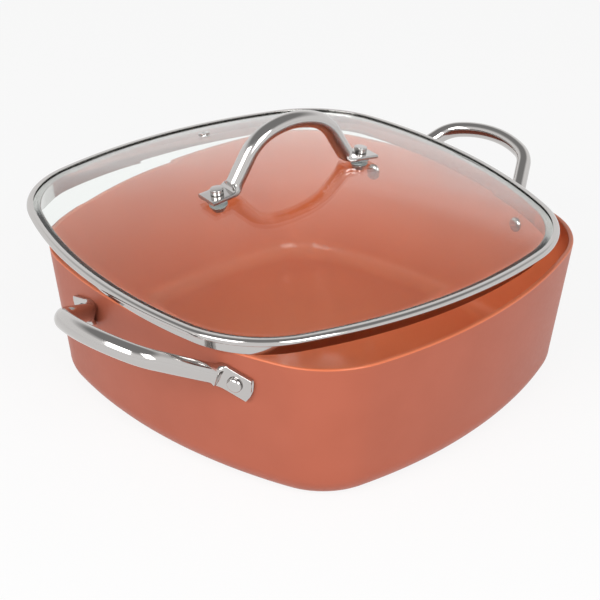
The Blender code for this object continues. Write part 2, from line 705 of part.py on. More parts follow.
def main():
    for old in list(bpy.data.objects):
        bpy.data.objects.remove(old)
    coating = material("copper_coating", "c4694f", 0.35, 0.4)
    steel = material("polished_steel", "c9c7c4", 1.0, 0.12)
    plate_steel = material("brushed_base_steel", "b9b8b5", 1.0, 0.35)
    glass_finish = material("clear_glass", "e6ecea", 0.0, 0.02)
    silicone = material("clear_silicone", "c9c9c4", 0.0, 0.4)

    body = pot_body(coating)
    base_plate(plate_steel)
    handles = side_handles(steel)
    handle_rivets(body, handles, steel)

    glass = lid_glass(glass_finish)
    handle = lid_handle(steel)
    lid_parts = [glass, handle, lid_rim(steel), rim_seal(silicone)]
    lid_parts += screw_stacks(glass, handle, {"steel": steel, "gasket": silicone})
    lid_parts += vent_eyelet(glass, steel)
    lid = bpy.data.objects.new("lid", None)
    bpy.context.collection.objects.link(lid)
    lid.matrix_world = lid_frame()
    for piece in lid_parts:
        piece.parent = lid


main()
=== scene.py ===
"""Dresses the packed casserole pot: smooth surfaces, real finishes, soft studio light and a camera.

Lengths are in metres and +Z is up. Every piece stands where its solid in the frame stands: the pot is
centred on the Z axis, and the lid has a frame of its own, centred in its bead, that is read from the
solids of the lid and its screws.
"""

import math

import bpy
import numpy as np
from bpy.props import FloatProperty, FloatVectorProperty, PointerProperty, StringProperty
from mathutils import Matrix, Vector


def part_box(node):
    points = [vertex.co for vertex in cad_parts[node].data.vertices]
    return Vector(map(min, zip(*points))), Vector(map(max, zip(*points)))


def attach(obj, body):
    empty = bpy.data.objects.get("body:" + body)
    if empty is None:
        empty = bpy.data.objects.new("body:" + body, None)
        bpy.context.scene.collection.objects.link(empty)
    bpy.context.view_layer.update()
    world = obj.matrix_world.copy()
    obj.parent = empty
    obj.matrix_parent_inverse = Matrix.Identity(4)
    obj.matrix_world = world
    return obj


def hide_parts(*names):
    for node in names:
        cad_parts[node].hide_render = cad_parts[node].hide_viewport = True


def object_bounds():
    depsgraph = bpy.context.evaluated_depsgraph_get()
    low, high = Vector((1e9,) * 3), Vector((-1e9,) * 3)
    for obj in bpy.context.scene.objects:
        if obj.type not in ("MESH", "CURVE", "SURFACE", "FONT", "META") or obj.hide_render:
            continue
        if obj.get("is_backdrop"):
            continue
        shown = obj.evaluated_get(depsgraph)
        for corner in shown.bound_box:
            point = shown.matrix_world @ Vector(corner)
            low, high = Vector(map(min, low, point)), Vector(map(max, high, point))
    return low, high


bl_info = {
    "name": "Casserole pot dressing",
    "version": (1, 0, 0),
    "blender": (4, 5, 0),
    "location": "View3D > Sidebar > Casserole",
    "description": "Builds the surfaces and finishes of a square casserole pot round its packed solids",
    "category": "Object",
}

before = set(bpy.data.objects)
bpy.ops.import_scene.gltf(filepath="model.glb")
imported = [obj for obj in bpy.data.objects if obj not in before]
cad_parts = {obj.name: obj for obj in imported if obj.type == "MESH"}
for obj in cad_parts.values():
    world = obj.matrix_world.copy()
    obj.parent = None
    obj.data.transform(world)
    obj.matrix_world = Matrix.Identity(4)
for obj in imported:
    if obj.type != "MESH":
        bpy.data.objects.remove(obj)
CAD_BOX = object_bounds()

MM = 0.001

# Clearance that touching pieces keep in the frame
GAP = 0.3 * MM

# Height of the ceramic's orange peel
PEEL_DEPTH = 0.01 * MM

# How much of the studio floor is shown as plain white. The rest shows the pot's shadow
FLOOR_WHITE_SHARE = 0.86

# Fineness of the surfaces
SIDE_STEPS = 36
CORNER_STEPS = 28
ROUND_STEPS = 12
TURN_STEPS = 72
DISC_STEPS = 192
BAR_STEPS = 56
BAR_SPACING = 1.1 * MM
ARC_STEPS = 40
WALL_RINGS = 9
GLASS_RINGS = 48
FLOOR_STEPS = 96
SHARP_ANGLE = math.radians(32)

SIDES = ("left", "right")

# Domed heads: the upright edge's share of the height, and the power that rounds the dome
HEAD_EDGE = 0.12
HEAD_ROUNDNESS = 0.7

# How much of the outline's squareness is left in the middle of the glass
GLASS_MIDDLE = 0.45

# Power of a pressed tab's section, where 2 is an ellipse
TAB_POWER = 9

# An arch's crown arc stops just short of its neighbours
CROWN_FIT = 0.9999

# Edges of fasteners, screw heads and the base disc
CHAMFER = 0.3 * MM
HEAD_SEAT_ROUND = 0.2 * MM
HEAD_TOP_ROUND = 0.5 * MM
DISC_ROUND = 0.3 * MM

# Rounding of the lid's thin steel edges, as a share of its thickness
STRIP_ROUND = 0.45

# Strip of silicone inside the bead
SEAL_DEPTH = 0.45 * MM
SEAL_HALF_FRONT = 0.8 * MM
SEAL_HALF_BACK = 0.65 * MM
SEAL_ROUND = 0.1 * MM


def centre_of(node):
    low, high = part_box(node)
    return (low + high) / 2


def span_of(node):
    low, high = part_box(node)
    return high - low


# Surfaces

def stack(x, y, z):
    """Grid of points from its x, y and z, spread to one shape."""
    return np.stack(np.broadcast_arrays(x, y, z), axis=-1)


def rounded_square(half_width, side_radius, corner_radius):
    """x and y of a square outline with bowed sides, as one row for each size given.

    A side is an arc about a centre on the axis, bulge behind the middle. A corner is an arc about a
    centre on the diagonal, at the distance from the side's centre where both arcs share a tangent.
    """
    sizes = (half_width, side_radius, corner_radius)
    half_width, side_radius, corner_radius = (np.atleast_1d(size)[:, None] for size in sizes)
    bulge = side_radius - half_width
    reach = side_radius - corner_radius
    corner = (np.sqrt(2 * reach ** 2 - bulge ** 2) - bulge) / 2
    spread = np.arctan2(corner, corner + bulge)
    side = spread * np.linspace(-1, 1, SIDE_STEPS, endpoint=False)
    bend = spread + (np.pi / 2 - 2 * spread) * np.linspace(0, 1, CORNER_STEPS, endpoint=False)
    on_side = side_radius * np.exp(1j * side) - bulge
    on_corner = corner * (1 + 1j) + corner_radius * np.exp(1j * bend)
    quarter = np.concatenate([on_side, on_corner], axis=1)
    whole = np.concatenate([quarter * 1j ** turn for turn in range(4)], axis=1)
    return whole.real, whole.imag


def rounded(corners, radii, steps=ROUND_STEPS):
    """Points of a line through the corners, with an arc of its own radius at each inner corner.

    An arc turns its start radius vector into its end one: at share t of the whole angle A it is
    sin((1 - t) A) / sin A of the first plus sin(t A) / sin A of the second.
    """
    corners = np.asarray(corners, float)
    points = [corners[:1]]
    share = np.linspace(0, 1, steps + 1)[:, None]
    for before, corner, after, radius in zip(corners, corners[1:], corners[2:], radii):
        back = (before - corner) / np.linalg.norm(before - corner)
        ahead = (after - corner) / np.linalg.norm(after - corner)
        half_open = math.acos(np.clip(back @ ahead, -1, 1)) / 2
        start = corner + back * radius / math.tan(half_open)
        end = corner + ahead * radius / math.tan(half_open)
        middle = (back + ahead) / np.linalg.norm(back + ahead)
        centre = corner + middle * radius / math.sin(half_open)
        angle = math.pi - 2 * half_open
        arc = np.sin((1 - share) * angle) * (start - centre) + np.sin(share * angle) * (end - centre)
        points.append(centre + arc / math.sin(angle))
    points.append(corners[-1:])
    return np.concatenate(points)


def evenly(path, spacing):
    """The path's points again, equal steps of about the spacing apart along its length."""
    steps = np.linalg.norm(np.diff(path, axis=0), axis=1)
    keep = np.concatenate([[True], steps > spacing * 1e-4])
    path = path[keep]
    run = np.concatenate([[0], np.cumsum(np.linalg.norm(np.diff(path, axis=0), axis=1))])
    marks = np.linspace(0, run[-1], round(run[-1] / spacing) + 1)
    return np.stack([np.interp(marks, run, path[:, axis]) for axis in range(path.shape[1])], axis=1), marks


def turned(profile, steps=TURN_STEPS):
    """Surface turned round Z: x = r cos a, y = r sin a, z, for each radius r and height z."""
    profile = np.asarray(profile, float)
    angle = np.linspace(0, 2 * np.pi, steps, endpoint=False)
    radius = profile[:, :1]
    return stack(radius * np.cos(angle), radius * np.sin(angle), profile[:, 1:])


def placed(grid, matrix):
    """The grid's points carried by a matrix."""
    matrix = np.array(matrix)
    return grid @ matrix[:3, :3].T + matrix[:3, 3]


def frame_at(origin, along, normal):
    """Frame with Z along the normal and X as near as can be to along."""
    z = Vector(normal).normalized()
    along = Vector(along)
    x = (along - along.dot(z) * z).normalized()
    turn = Matrix((x, z.cross(x), z)).transposed().to_4x4()
    return Matrix.Translation(origin) @ turn


def outward(points, faces):
    """The faces, all turned over if the volume that they enclose comes out negative."""
    corners = points[faces[:, :3]]
    volume = np.einsum("ij,ij->i", corners[:, 0], np.cross(corners[:, 1], corners[:, 2])).sum()
    quads = faces[:, 2] != faces[:, 3]
    rest = points[faces[quads][:, [0, 2, 3]]]
    volume += np.einsum("ij,ij->i", rest[:, 0], np.cross(rest[:, 1], rest[:, 2])).sum()
    return faces if volume > 0 else faces[:, ::-1]


def closed_surface(name, grid, hoop=False):
    """Mesh object skinned over a grid whose rows are closed rings.

    Neighbouring rings are joined by quads. A hoop's last ring joins its first, and any other surface
    ends in a pole at the middle of each end ring.
    """
    rows, columns = grid.shape[:2]
    index = np.arange(rows * columns).reshape(rows, columns)
    points = grid.reshape(-1, 3)
    lower, upper = index[:-1], index[1:]
    if hoop:
        lower, upper = index, np.roll(index, -1, axis=0)
    quads = np.stack([lower, np.roll(lower, -1, 1), np.roll(upper, -1, 1), upper], axis=-1)
    faces = [quads.reshape(-1, 4)]
    if not hoop:
        start, end = len(points), len(points) + 1
        points = np.concatenate([points, [grid[0].mean(axis=0)], [grid[-1].mean(axis=0)]])
        first, last = index[0], index[-1]
        full = np.full(columns, start)
        faces.append(np.stack([first, full, np.roll(first, -1), np.roll(first, -1)], axis=-1))
        full = np.full(columns, end)
        faces.append(np.stack([np.roll(last, -1), full, last, last], axis=-1))
    faces = outward(points, np.concatenate(faces))
    polygons = [list(dict.fromkeys(face)) for face in faces.tolist()]
    mesh = bpy.data.meshes.new(name)
    mesh.from_pydata(points.tolist(), [], polygons)
    mesh.update()
    mesh.shade_smooth()
    mesh.set_sharp_from_angle(angle=SHARP_ANGLE)
    made = bpy.data.objects.new(name, mesh)
    bpy.context.scene.collection.objects.link(made)
    return made


def dress(piece, finish, slot, body, *nodes):
    """Gives a piece its finish, and lets it ride and stand for its solids. The slot is not used."""
    piece.data.materials.append(finish)
    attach(piece, body)
    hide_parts(*nodes)
    return piece


def bored(piece, cutters):
    """Takes the cutters out of the piece with exact Booleans, and leaves plain mesh data."""
    for cutter in cutters:
        modifier = piece.modifiers.new(cutter.name, "BOOLEAN")
        modifier.operation = "DIFFERENCE"
        modifier.solver = "EXACT"
        modifier.object = cutter
    evaluated = piece.evaluated_get(bpy.context.evaluated_depsgraph_get())
    mesh = bpy.data.meshes.new_from_object(evaluated)
    piece.modifiers.clear()
    piece.data = mesh
    for cutter in cutters:
        bpy.data.objects.remove(cutter)
    mesh.shade_smooth()
    mesh.set_sharp_from_angle(angle=SHARP_ANGLE)


# Finishes

def linear(hex_code):
    """Linear colour of an sRGB hex code."""
    parts = np.array([int(hex_code[i:i + 2], 16) for i in (0, 2, 4)]) / 255
    values = np.where(parts <= 0.04045, parts / 12.92, ((parts + 0.055) / 1.055) ** 2.4)
    return (*values.tolist(), 1)


def add(tree, kind, inputs=None, **settings):
    """Adds a shader node, with its settings and its inputs.

    An input is set to a value, or linked to a socket, or to the first output of a node.
    """
    node = tree.nodes.new("ShaderNode" + kind)
    for name, value in settings.items():
        setattr(node, name, value)
    for name, value in (inputs or {}).items():
        if isinstance(value, bpy.types.Node):
            value = value.outputs[0]
        if isinstance(value, bpy.types.NodeSocket):
            tree.links.new(value, node.inputs[name])
        else:
            node.inputs[name].default_value = value
    return node


def finish(name, surface, *values):
    """The named material, made on first use. Its surface function adds the nodes and returns the last."""
    made = bpy.data.materials.get(name)
    if not made:
        made = bpy.data.materials.new(name)
        made.use_nodes = True
        tree = made.node_tree
        tree.nodes.clear()
        add(tree, "OutputMaterial", {"Surface": surface(tree, *values)})
    return made


def ceramic(tree, shade, light, cloud_size, peel_size, roughness, specular, coat):
    """Sol-gel ceramic film, sprayed over aluminium and baked.

    Mica in the film lifts and drops its tone a little in clouds, and the film has a faint orange peel.
    """
    place = add(tree, "TexCoord").outputs["Object"]
    clouds = add(tree, "TexNoise", {"Vector": place, "Scale": 1 / cloud_size, "Detail": 2.0})
    even_clouds = add(tree, "MapRange", {"Value": clouds, "From Min": 0.3, "From Max": 0.7})
    tone = add(tree, "Mix", {0: even_clouds, 6: linear(shade), 7: linear(light)}, data_type="RGBA")
    peel = add(tree, "TexNoise", {"Vector": place, "Scale": 1 / peel_size, "Detail": 1.0})
    film = add(tree, "Bump", {"Height": peel, "Distance": PEEL_DEPTH})
    satin = add(tree, "MapRange", {"Value": peel, "To Min": roughness - 0.04, "To Max": roughness + 0.04})
    return add(tree, "BsdfPrincipled", {
        "Base Color": tone.outputs[2],
        "Roughness": satin,
        "Normal": film,
        "IOR": 1.45,
        "Specular IOR Level": specular,
        "Coat Weight": coat,
        "Coat Roughness": 0.12,
    })


def ceramic_outside(tree, colours):
    """Satin film outside: clouds a few centimetres wide, orange peel about 3 mm from crest to crest."""
    return ceramic(tree, colours.coating_shade, colours.coating_light, 28 * MM, 3 * MM, 0.38, 0.2, 0.0)


def ceramic_inside(tree, colours):
    """The same film inside, where it is thicker and flows out smoother: glossy and easily wiped. Its
    colours are lighter than the outside's: painted light inside the pot.
    """
    return ceramic(tree, colours.painted_lit_lining_shade, colours.painted_lit_lining_light, 40 * MM, 6 * MM, 0.4, 0.1, 0.6)


def polished_steel(tree, colours):
    """Stainless steel tube and strip, buffed to a near mirror with a faint haze from the wheel."""
    place = add(tree, "TexCoord").outputs["Object"]
    # Buffing lines are finer than a hair, so they are drawn about 1 mm wide to show at all
    drawn = add(tree, "Mapping", {"Vector": place, "Scale": (1, 1, 0.15)})
    lines = add(tree, "TexNoise", {"Vector": drawn, "Scale": 1 / (1.2 * MM), "Detail": 3.0})
    haze = add(tree, "MapRange", {"Value": lines, "To Min": 0.07, "To Max": 0.14})
    return add(tree, "BsdfPrincipled", {
        "Base Color": linear(colours.steel), "Metallic": 1.0, "Roughness": haze})


def machined_steel(tree, colours):
    """Induction disc faced on a lathe: satin steel with fine rings about the pot's centre."""
    place = add(tree, "TexCoord").outputs["Object"]
    # Tool marks 0.6 mm apart, the pitch of a facing cut. The texture has a ring every 1/20 of its unit
    rings = add(
        tree, "TexWave", {"Vector": place, "Scale": 1 / (0.6 * MM) / 20, "Distortion": 0.4},
        wave_type="RINGS", rings_direction="SPHERICAL").outputs["Fac"]
    marks = add(tree, "Bump", {"Height": rings, "Distance": 0.02 * MM})
    satin = add(tree, "MapRange", {"Value": rings, "To Min": 0.28, "To Max": 0.4})
    return add(tree, "BsdfPrincipled", {
        "Base Color": linear(colours.base_steel), "Metallic": 1.0, "Roughness": satin, "Normal": marks})


def clear_glass(tree, colours):
    """Tempered soda-lime glass: clear, with the faint green of its iron. It lets lamps through."""
    glass = add(tree, "BsdfPrincipled", {
        "Base Color": linear(colours.glass), "Roughness": 0.0, "IOR": 1.52, "Transmission Weight": 1.0})
    open_way = add(tree, "BsdfTransparent", {"Color": linear(colours.glass)})
    shadow = add(tree, "LightPath").outputs["Is Shadow Ray"]
    return add(tree, "MixShader", {"Fac": shadow, 1: glass, 2: open_way})


def silicone(tree, hex_code, roughness):
    """Moulded translucent silicone rubber: light scatters in it, and its mould leaves a faint grain."""
    place = add(tree, "TexCoord").outputs["Object"]
    grain = add(tree, "TexNoise", {"Vector": place, "Scale": 1 / (0.8 * MM), "Detail": 2.0})
    skin = add(tree, "Bump", {"Height": grain, "Distance": 0.01 * MM})
    matt = add(tree, "MapRange", {"Value": grain, "To Min": roughness - 0.05, "To Max": roughness + 0.05})
    return add(tree, "BsdfPrincipled", {
        "Base Color": linear(hex_code), "Roughness": matt, "Normal": skin, "IOR": 1.42,
        "Transmission Weight": 0.4})


def dressed(name, grid, look, slot, body, node, hoop=False):
    """A dressed surface over a grid."""
    return dress(closed_surface(name, grid, hoop), look, slot, body, node)


def steel_piece(scene, name, grid, body, node, hoop=False):
    steel = finish("buffed_stainless_steel", polished_steel, scene.casserole_colours)
    return dressed(name, grid, steel, "polished_steel", body, node, hoop)


# Sizes and colours that a user would change

def measured(description, metres):
    return FloatProperty(description=description, default=metres, unit="LENGTH", precision=5)


def length(description, millimetres):
    return measured(description, millimetres * MM)


def angle(description, degrees):
    return FloatProperty(description=description, default=math.radians(degrees), subtype="ANGLE")


def hex_colour(description, code):
    return StringProperty(description=description, default=code, maxlen=6)


class CasserolePotSizes(bpy.types.PropertyGroup):
    """The coated pot and its base disc."""

    height: measured("From the underside to the top of the rim", span_of("pot_body").z)
    rim_width: measured("Across the flat sides at the rim", span_of("pot_body").x)
    rim_side_radius: length("Bow of the sides at the rim", 302)
    rim_corner_radius: length("Corners at the rim", 58)
    base_width: length("Across the flat sides at the foot of the wall", 260.8)
    base_side_radius: length("Bow of the sides at the foot of the wall", 304)
    base_corner_radius: length("Corners at the foot of the wall", 47)
    base_round: length("Outer rounding between wall and underside", 15.8)
    wall: length("Thickness of the wall", 3)
    floor: length("Thickness of the floor", 3.6)
    rim_round: length("Rounding of both edges of the rim", 1)
    disc_radius: measured("Radius of the steel base disc", span_of("base_plate").x / 2)
    disc_thickness: measured("Thickness of the steel base disc", span_of("base_plate").z)


class CasseroleHandleSizes(bpy.types.PropertyGroup):
    """The two side handles and their rivets."""

    tube_width: length("Across the loop's plane", 11.1)
    tube_depth: length("In the loop's plane", 9.3)
    tab_width: length("Width of a pressed end", 16)
    tab_thickness: length("Thickness of a pressed end", 2.4)
    tab_slope: angle("Slope of the tabs down and outwards", 17)
    tab_past_rivet: length("From the rivet to the tab's end", 8.5)
    tab_end_bow: length("Bow of the tab's end", 1.8)
    tab_flat_length: length("Length that is pressed quite flat", 17.2)
    flattening: length("Length over which the tube is pressed flat", 6)
    knee_from_rivet: length("From the rivet to where the tube turns out", 8.5)
    knee_radius: length("Radius of that turn", 7)
    loop_tilt: angle("Rise of the loop's plane", 28)
    loop_skew: length("How far the loop's outer corners lie along the wall from its middle", 1.5)
    shoulder_spread: length("Between the corners of the loop", 64.3)
    shoulder_reach: length("From the knees to those corners, in the loop's plane", 46.8)
    shoulder_radius: length("Radius of those corners", 20.3)
    crown_reach: length("From the knees to the loop's outermost corner", 61.4)
    left_shift: length("How far along Y the left handle is riveted from the middle", -2.5)
    right_shift: length("How far along Y the right handle is riveted from the middle", -1)
    rivet_spread: length("Between the two rivets of a handle", 119.6)
    rivet_height: length("Height of the rivets on the wall", 71.4)
    rivet_head_radius: length("Radius of both heads", 4.6)
    rivet_head_height: length("Height of the outer head", 2.6)
    rivet_inner_head_height: length("Height of the inner head", 2.2)
    rivet_shank_radius: length("Radius of the shank", 2.4)


class CasseroleLidSizes(bpy.types.PropertyGroup):
    """The glass, its steel rim and the vent."""

    bead_width: length("Across the flat sides, between the middles of the bead", 284.4)
    side_radius: length("Bow of the sides", 306)
    corner_radius: length("Corners", 67)
    bead_radius: length("Radius of the rolled bead", 2.1)
    bead_lip: length("From the bead's middle to its inner lip", 2)
    steel_thickness: length("Thickness of the strip", 0.5)
    collar_inset: length("From the bead's middle to the collar", 7.1)
    collar_drop: length("From the bead's middle to the collar's lower edge", 11.5)
    collar_round: length("Bend between flange and collar", 1.4)
    glass_thickness: length("Thickness of the glass", 3.8)
    glass_edge_into_bead: length("How far the glass reaches past the bead's middle", 0.3)
    dome_rise: length("Rise of the glass over its edge", 23.4)
    dome_start: length("From the bead's middle to where the dome starts", 2.6)
    dome_power: FloatProperty(description="2 is a round dome, more is flatter on top", default=2.0)
    vent_along: length("From the lid's middle to the vent, along Y", 108)
    vent_across: length("From the lid's middle to the vent, along X", 8.5)
    vent_bore_radius: length("Radius of the steam hole", 1.3)
    vent_tube_radius: length("Radius of the eyelet's tube", 2.1)
    vent_flange_radius: length("Radius of the eyelet's flanges", 3.9)
    vent_flange_thickness: length("Thickness of the eyelet's flanges", 0.7)


class CasseroleArchSizes(bpy.types.PropertyGroup):
    """The lid's arched handle and what fastens it."""

    screw_spread: length("Between the two screws", 104.4)
    bar_width: length("Sideways", 10.8)
    bar_depth: length("In the arch's plane", 10.2)
    foot_width: length("Width of a pressed foot", 16)
    foot_thickness: length("Thickness of a pressed foot", 2.4)
    foot_past_screw: length("From the screw to the foot's end", 8)
    foot_flat_length: length("Length that is pressed quite flat", 15)
    foot_bend_from_screw: length("From the screw to where the bar turns up", 10.4)
    foot_bend_radius: length("Radius of that turn", 7)
    flattening: length("Length over which the bar is pressed flat", 6.5)
    shoulder_spread: length("Between the corners of the arch", 51.8)
    shoulder_rise: length("From the bends up to those corners", 27)
    shoulder_radius: length("Radius of those corners", 30)
    crown_rise: length("From the bends up to the arch's top corner", 36.2)
    screw_head_radius: length("Radius of the flat-topped head", 4)
    screw_head_height: length("Height of the flat-topped head", 3.4)
    screw_shank_radius: length("Radius of the shank", 2)
    screw_past_nut: length("Shank below the nut", 0.5)
    upper_gasket_radius: length("Between foot and glass", 6)
    upper_gasket_thickness: length("Its thickness", 1.6)
    lower_gasket_radius: length("Between glass and washer", 5.5)
    lower_gasket_thickness: length("Its thickness", 1)
    washer_radius: length("Steel washer", 5)
    washer_thickness: length("Steel washer", 0.8)
    nut_across_flats: length("Hexagon nut", 7)
    nut_thickness: length("Hexagon nut", 2)


class CasseroleColours(bpy.types.PropertyGroup):
    """Colours of the finishes, as sRGB hex codes."""

    coating_shade: hex_colour("Satin ceramic outside, its darker clouds", "a65a45")
    coating_light: hex_colour("Satin ceramic outside, its lighter clouds", "aa5d48")
    # The inside colours are the outside film's made lighter: painted light inside the pot
    painted_lit_lining_shade: hex_colour("Glossy ceramic inside, its darker clouds", "cb6c47")
    painted_lit_lining_light: hex_colour("Glossy ceramic inside, its lighter clouds", "cf704b")
    steel: hex_colour("Handles, rim, rivets and screws", "c2bfbd")
    base_steel: hex_colour("Machined base disc", "b9b8b5")
    glass: hex_colour("What the lid's glass lets through", "f7faf8")
    gasket: hex_colour("Silicone under and over the glass", "bac1c3")
    seal: hex_colour("Bonding silicone inside the bead", "c9c9c4")


class CasseroleStage(bpy.types.PropertyGroup):
    """Camera, floor and light."""

    camera_place: FloatVectorProperty(
        description="Where the camera stands", default=(-0.6917, -0.6048, 0.5497),
        subtype="TRANSLATION", unit="LENGTH")
    azimuth: angle("Camera's turn round the pot, 0 looking along +Y", -48.386)
    elevation: angle("Camera's height over the horizon", 28.745)
    roll: angle("Camera's turn about its own axis", 0.669)
    lens: FloatProperty(description="Focal length for a 36 mm sensor", default=101.6, unit="CAMERA")
    left_power: FloatProperty(description="Softbox on the left", default=10.5, unit="POWER")
    right_power: FloatProperty(description="Softbox on the right", default=10, unit="POWER")
    fill: FloatProperty(description="Light from low all round", default=0.7)


# Shapes that several pieces share

def wall_share(pot, z):
    """0 at the foot of the straight wall, and 1 at the rim."""
    return (z - pot.base_round) / (pot.height - pot.base_round)


def between(low, high, share):
    return low + (high - low) * share


def wall_sizes(pot, z):
    """Half width, side radius and corner radius of the pot's outside at a height."""
    share = wall_share(pot, np.maximum(z, pot.base_round))
    half_width = between(pot.base_width, pot.rim_width, share) / 2
    side_radius = between(pot.base_side_radius, pot.rim_side_radius, share)
    corner_radius = between(pot.base_corner_radius, pot.rim_corner_radius, share)
    return half_width, side_radius, corner_radius


def wall_frame(pot, across, z):
    """Frame on the outside of the +X wall, Z outwards and X along the wall."""
    half_width, radius, _ = wall_sizes(pot, z)
    turn = math.asin(across / radius)
    slope = (pot.rim_width - pot.base_width) / 2 / (pot.height - pot.base_round)
    origin = Vector((half_width - radius * (1 - math.cos(turn)), across, z))
    along = Vector((-math.sin(turn), math.cos(turn), 0))
    return frame_at(origin, along, Vector((math.cos(turn), math.sin(turn), -slope)))


def side_place(pot, handle, side):
    """Carries what stands on the +X wall to a side, slid along the wall's arc by the handle's shift."""
    half_width, radius, _ = wall_sizes(pot, handle.rivet_height)
    shift = handle.left_shift if side == "left" else handle.right_shift
    turn = half_turn(side)
    slide = shift / radius * turn[0][0]
    arc_centre = Matrix.Translation((half_width - radius, 0, 0))
    return turn @ arc_centre @ Matrix.Rotation(slide, 4, "Z") @ arc_centre.inverted()


def pressed_bar(path, tab_length, flattening, tab_axes, bar_axis, tab_size, bar_size, bow):
    """Grid of a bar that is pressed flat at both ends.

    A section is a superellipse, wide along one axis and thin across it: each coordinate is its half
    size times cos or sin to a power that goes from 1 on the round bar to almost 0 on the flat tab.
    The sizes ease from tab to bar over the flattening, and the ends bow out by a parabola.
    """
    path, run = evenly(path, BAR_SPACING)
    from_end = np.minimum(run, run[-1] - run)
    share = np.clip((from_end - tab_length) / flattening, 0, 1)
    flat = (1 - share ** 2 * (3 - 2 * share))[:, None]
    tangent = np.gradient(path, axis=0)
    tangent /= np.linalg.norm(tangent, axis=1)[:, None]
    near_start = (run < run[-1] / 2)[:, None]
    wide = np.where(near_start, tab_axes[0], tab_axes[1]) * flat + np.asarray(bar_axis) * (1 - flat)
    wide -= np.sum(wide * tangent, axis=1)[:, None] * tangent
    wide /= np.linalg.norm(wide, axis=1)[:, None]
    thin = np.cross(tangent, wide)
    turn = np.linspace(0, 2 * np.pi, BAR_STEPS, endpoint=False)
    power = 2 / between(2, TAB_POWER, flat)
    across = np.sign(np.cos(turn)) * np.abs(np.cos(turn)) ** power
    through = np.sign(np.sin(turn)) * np.abs(np.sin(turn)) ** power
    half_wide = between(bar_size[0], tab_size[0], flat) / 2
    half_thin = between(bar_size[1], tab_size[1], flat) / 2
    grid = path[:, None] + wide[:, None] * (half_wide * across)[..., None]
    grid = grid + thin[:, None] * (half_thin * through)[..., None]
    reach = np.zeros(len(path))
    reach[0], reach[-1] = -bow, bow
    grid = grid + tangent[:, None] * (reach[:, None] * (1 - across ** 2))[..., None]
    return grid


def dome_head(radius, height, seat, direction):
    """Profile of a domed head from its seat to its top: radius cos(t)^0.7 and height sin(t)."""
    t = np.linspace(0, np.pi / 2, ROUND_STEPS + 4)[:-1]
    edge = HEAD_EDGE * height
    heights = edge + (height - edge) * np.sin(t)
    profile = np.stack([radius * np.cos(t) ** HEAD_ROUNDNESS, seat + direction * heights], axis=1)
    return np.concatenate([[[radius, seat]], profile])


def smooth_washer(outer, inner, low, high):
    """A flat turned ring whose four edges are rounded."""
    middle = (low + high) / 2
    corners = [(inner, middle), (inner, low), (outer, low), (outer, high), (inner, high), (inner, middle)]
    return turned(rounded(corners, [CHAMFER] * 4, steps=5)[:-1])


def lid_matrix(lid):
    """The lid's own frame: centred on the glass, turned along its screws, in the plane of its bead."""
    middle = centre_of("lid_glass")
    along = centre_of("lid_screw_right") - centre_of("lid_screw_left")
    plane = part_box("lid_rim")[0].z + lid.collar_drop
    turn = Matrix.Rotation(math.atan2(along.y, along.x), 4, "Z")
    return Matrix.Translation((middle.x, middle.y, plane)) @ turn


def lid_outline(lid, inset):
    """x and y of the lid's outline, set in from the middle of its bead."""
    inset = np.asarray(inset, float)
    return rounded_square(lid.bead_width / 2 - inset, lid.side_radius - inset, lid.corner_radius - inset)


def glass_edge(lid):
    """Half the thickness of the glass where the bead holds it."""
    return lid.bead_radius - lid.steel_thickness - GAP


def dome_height(lid, fraction):
    """Height of the glass's upper face: its edge plus the rise times 1 - fraction ^ power."""
    return glass_edge(lid) + lid.dome_rise * (1 - fraction ** lid.dome_power)


def dome_fraction(lid, along, across):
    """Share of the way from the lid's middle to the dome's edge, for a point off the middle of a side.

    It is the scale at which the edge's side arc passes through the point.
    """
    radius = lid.side_radius - lid.dome_start
    bulge = lid.side_radius - lid.bead_width / 2
    room = radius ** 2 - bulge ** 2
    lean = along * bulge
    return (lean + math.sqrt(lean ** 2 + room * (along ** 2 + across ** 2))) / room


def seat_frame(lid, along, across, radius):
    """Frame of a round seat on the glass off the +X side, Z outwards and X away from the middle."""
    margin = radius + GAP
    inner = dome_fraction(lid, along - margin, across)
    outer = dome_fraction(lid, along + margin, across)
    drop = (dome_height(lid, inner) - dome_height(lid, outer)) / (2 * margin)
    share = (dome_fraction(lid, along, across) - inner) / (outer - inner)
    z = between(dome_height(lid, inner), dome_height(lid, outer), share)
    turn = math.asin(across / (lid.side_radius * outer))
    away = Vector((math.cos(turn), math.sin(turn), -drop))
    normal = Vector((drop * math.cos(turn), drop * math.sin(turn), 1))
    return frame_at(Vector((along, across, z)), away, normal)


def screw_seat(lid, arch):
    return seat_frame(lid, arch.screw_spread / 2, 0, arch.upper_gasket_radius)


def vent_frame(lid):
    seat = seat_frame(lid, lid.vent_along, -lid.vent_across, lid.vent_flange_radius)
    return lid_matrix(lid) @ Matrix.Rotation(math.pi / 2, 4, "Z") @ seat


def half_turn(side):
    """Turns the right side's frame round to the left side."""
    return Matrix.Rotation(math.pi if side == "left" else 0, 4, "Z")


class CasseroleOperator:
    """What every building step shares."""

    bl_options = {"REGISTER", "UNDO"}

    def execute(self, context):
        self.build(context.scene)
        return {"FINISHED"}


